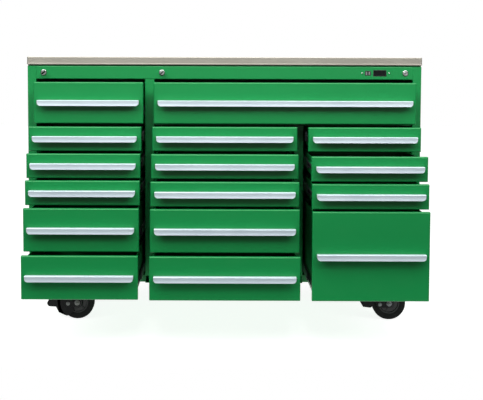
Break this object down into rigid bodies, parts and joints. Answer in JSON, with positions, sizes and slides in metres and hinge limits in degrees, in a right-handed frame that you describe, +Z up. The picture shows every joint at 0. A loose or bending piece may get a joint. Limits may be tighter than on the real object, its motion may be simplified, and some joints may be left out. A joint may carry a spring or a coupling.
{
  "type": "rolling tool chest",
  "caption": "Wide steel tool chest on swivel casters, with three bays of drawers on slides, a lockable fascia and a stainless worktop.",
  "frame": {"origin": "on the floor, under the centre of the carcass's footprint", "axes": "+Z up, +X along the chest's width to the right of someone facing it, -Y out of the drawer fronts"},
  "size_m": [1.73, 1.1102, 1.188],
  "materials": {
    "paint": "semi-gloss green powder coat",
    "stainless": "brushed along its length",
    "board": "pressed wood board, sealed inside the worktop sheet",
    "slide_steel": "dark zinc plate",
    "lock_chrome": "bright chrome plate",
    "pull_metal": "satin anodised, brushed along its length",
    "black_plastic": "fine-grained moulding",
    "black_metal": "black powder coat",
    "tyre": "smooth black rubber tread"
  },
  "bodies": {
    "cabinet": {"side_panel_left": "paint", "side_panel_right": "paint", "back_panel": "paint", "floor_pan": "paint", "top_deck": "paint", "divider_left": "paint", "divider_right": "paint", "cross_rails": "paint", "control_fascia": "paint", "worktop_skin": "stainless", "worktop_core": "board", "cabinet_slides": "slide_steel", "lock_barrels": "lock_chrome", "power_outlets": "black_plastic", "caster_plates": "black_metal"},
    "drawer_left_1": {"drawer_left_1": "paint", "pull_left_1": "pull_metal"},
    "drawer_left_2": {"drawer_left_2": "paint", "pull_left_2": "pull_metal"},
    "drawer_left_3": {"drawer_left_3": "paint", "pull_left_3": "pull_metal"},
    "drawer_left_4": {"drawer_left_4": "paint", "pull_left_4": "pull_metal"},
    "drawer_left_5": {"drawer_left_5": "paint", "pull_left_5": "pull_metal"},
    "drawer_left_6": {"drawer_left_6": "paint", "pull_left_6": "pull_metal"},
    "drawer_wide": {"drawer_wide": "paint", "pull_wide": "pull_metal"},
    "drawer_middle_1": {"drawer_middle_1": "paint", "pull_middle_1": "pull_metal"},
    "drawer_middle_2": {"drawer_middle_2": "paint", "pull_middle_2": "pull_metal"},
    "drawer_middle_3": {"drawer_middle_3": "paint", "pull_middle_3": "pull_metal"},
    "drawer_middle_4": {"drawer_middle_4": "paint", "pull_middle_4": "pull_metal"},
    "drawer_middle_5": {"drawer_middle_5": "paint", "pull_middle_5": "pull_metal"},
    "drawer_right_1": {"drawer_right_1": "paint", "pull_right_1": "pull_metal"},
    "drawer_right_2": {"drawer_right_2": "paint", "pull_right_2": "pull_metal"},
    "drawer_right_3": {"drawer_right_3": "paint", "pull_right_3": "pull_metal"},
    "drawer_right_4": {"drawer_right_4": "paint", "pull_right_4": "pull_metal"},
    "lock_plug_left": {"lock_plug_left": "lock_chrome"},
    "lock_plug_middle": {"lock_plug_middle": "lock_chrome"},
    "lock_plug_right": {"lock_plug_right": "lock_chrome"},
    "fork_front_left": {"caster_fork_front_left": "black_metal"},
    "wheel_front_left": {"caster_wheel_front_left": "tyre"},
    "brake_front_left": {"brake_lever_front_left": "black_metal"},
    "fork_front_right": {"caster_fork_front_right": "black_metal"},
    "wheel_front_right": {"caster_wheel_front_right": "tyre"},
    "brake_front_right": {"brake_lever_front_right": "black_metal"},
    "fork_rear_left": {"caster_fork_rear_left": "black_metal"},
    "wheel_rear_left": {"caster_wheel_rear_left": "tyre"},
    "fork_rear_right": {"caster_fork_rear_right": "black_metal"},
    "wheel_rear_right": {"caster_wheel_rear_right": "tyre"}
  },
  "joints": [
    {"name": "drawer_left_1_slide", "type": "slide", "parent": "cabinet", "child": "drawer_left_1", "axis": [0, -1, 0], "range_m": [-0.095, 0.435]},
    {"name": "drawer_left_2_slide", "type": "slide", "parent": "cabinet", "child": "drawer_left_2", "axis": [0, -1, 0], "range_m": [-0.23, 0.3]},
    {"name": "drawer_left_3_slide", "type": "slide", "parent": "cabinet", "child": "drawer_left_3", "axis": [0, -1, 0], "range_m": [-0.295, 0.235]},
    {"name": "drawer_left_4_slide", "type": "slide", "parent": "cabinet", "child": "drawer_left_4", "axis": [0, -1, 0], "range_m": [-0.335, 0.195]},
    {"name": "drawer_left_5_slide", "type": "slide", "parent": "cabinet", "child": "drawer_left_5", "axis": [0, -1, 0], "range_m": [-0.388, 0.142]},
    {"name": "drawer_left_6_slide", "type": "slide", "parent": "cabinet", "child": "drawer_left_6", "axis": [0, -1, 0], "range_m": [-0.45, 0.08]},
    {"name": "drawer_wide_slide", "type": "slide", "parent": "cabinet", "child": "drawer_wide", "axis": [0, -1, 0], "range_m": [-0.11, 0.42]},
    {"name": "drawer_middle_1_slide", "type": "slide", "parent": "cabinet", "child": "drawer_middle_1", "axis": [0, -1, 0], "range_m": [-0.225, 0.305]},
    {"name": "drawer_middle_2_slide", "type": "slide", "parent": "cabinet", "child": "drawer_middle_2", "axis": [0, -1, 0], "range_m": [-0.31, 0.22]},
    {"name": "drawer_middle_3_slide", "type": "slide", "parent": "cabinet", "child": "drawer_middle_3", "axis": [0, -1, 0], "range_m": [-0.37, 0.16]},
    {"name": "drawer_middle_4_slide", "type": "slide", "parent": "cabinet", "child": "drawer_middle_4", "axis": [0, -1, 0], "range_m": [-0.405, 0.125]},
    {"name": "drawer_middle_5_slide", "type": "slide", "parent": "cabinet", "child": "drawer_middle_5", "axis": [0, -1, 0], "range_m": [-0.462, 0.068]},
    {"name": "drawer_right_1_slide", "type": "slide", "parent": "cabinet", "child": "drawer_right_1", "axis": [0, -1, 0], "range_m": [-0.235, 0.295]},
    {"name": "drawer_right_2_slide", "type": "slide", "parent": "cabinet", "child": "drawer_right_2", "axis": [0, -1, 0], "range_m": [-0.4, 0.13]},
    {"name": "drawer_right_3_slide", "type": "slide", "parent": "cabinet", "child": "drawer_right_3", "axis": [0, -1, 0], "range_m": [-0.435, 0.095]},
    {"name": "drawer_right_4_slide", "type": "slide", "parent": "cabinet", "child": "drawer_right_4", "axis": [0, -1, 0], "range_m": [-0.466, 0.064]},
    {"name": "lock_left_turn", "type": "hinge", "parent": "cabinet", "child": "lock_plug_left", "pos_m": [-0.792, -0.305, 1.1195], "axis": [0, 1, 0], "range_deg": [-45, 45]},
    {"name": "lock_middle_turn", "type": "hinge", "parent": "cabinet", "child": "lock_plug_middle", "pos_m": [-0.274, -0.305, 1.1195], "axis": [0, 1, 0], "range_deg": [-45, 45]},
    {"name": "lock_right_turn", "type": "hinge", "parent": "cabinet", "child": "lock_plug_right", "pos_m": [0.792, -0.305, 1.1195], "axis": [0, 1, 0], "range_deg": [-90, 0]},
    {"name": "swivel_front_left", "type": "hinge", "parent": "cabinet", "child": "fork_front_left", "pos_m": [-0.7075, -0.175, 0.188], "axis": [0, 0, 1], "continuous": true},
    {"name": "wheel_front_left_spin", "type": "hinge", "parent": "fork_front_left", "child": "wheel_front_left", "pos_m": [-0.6635, -0.175, 0.075], "axis": [0, 1, 0], "continuous": true},
    {"name": "brake_front_left_tilt", "type": "hinge", "parent": "fork_front_left", "child": "brake_front_left", "pos_m": [-0.6835, -0.175, 0.135], "axis": [0, 1, 0], "range_deg": [0, 40]},
    {"name": "swivel_front_right", "type": "hinge", "parent": "cabinet", "child": "fork_front_right", "pos_m": [0.7075, -0.175, 0.188], "axis": [0, 0, 1], "continuous": true},
    {"name": "wheel_front_right_spin", "type": "hinge", "parent": "fork_front_right", "child": "wheel_front_right", "pos_m": [0.7515, -0.175, 0.075], "axis": [0, 1, 0], "continuous": true},
    {"name": "brake_front_right_tilt", "type": "hinge", "parent": "fork_front_right", "child": "brake_front_right", "pos_m": [0.7315, -0.175, 0.135], "axis": [0, 1, 0], "range_deg": [-40, 0]},
    {"name": "swivel_rear_left", "type": "hinge", "parent": "cabinet", "child": "fork_rear_left", "pos_m": [-0.7075, 0.175, 0.188], "axis": [0, 0, 1], "continuous": true},
    {"name": "wheel_rear_left_spin", "type": "hinge", "parent": "fork_rear_left", "child": "wheel_rear_left", "pos_m": [-0.6635, 0.175, 0.075], "axis": [0, 1, 0], "continuous": true},
    {"name": "swivel_rear_right", "type": "hinge", "parent": "cabinet", "child": "fork_rear_right", "pos_m": [0.7075, 0.175, 0.188], "axis": [0, 0, 1], "continuous": true},
    {"name": "wheel_rear_right_spin", "type": "hinge", "parent": "fork_rear_right", "child": "wheel_rear_right", "pos_m": [0.7515, 0.175, 0.075], "axis": [0, 1, 0], "continuous": true}
  ]
}
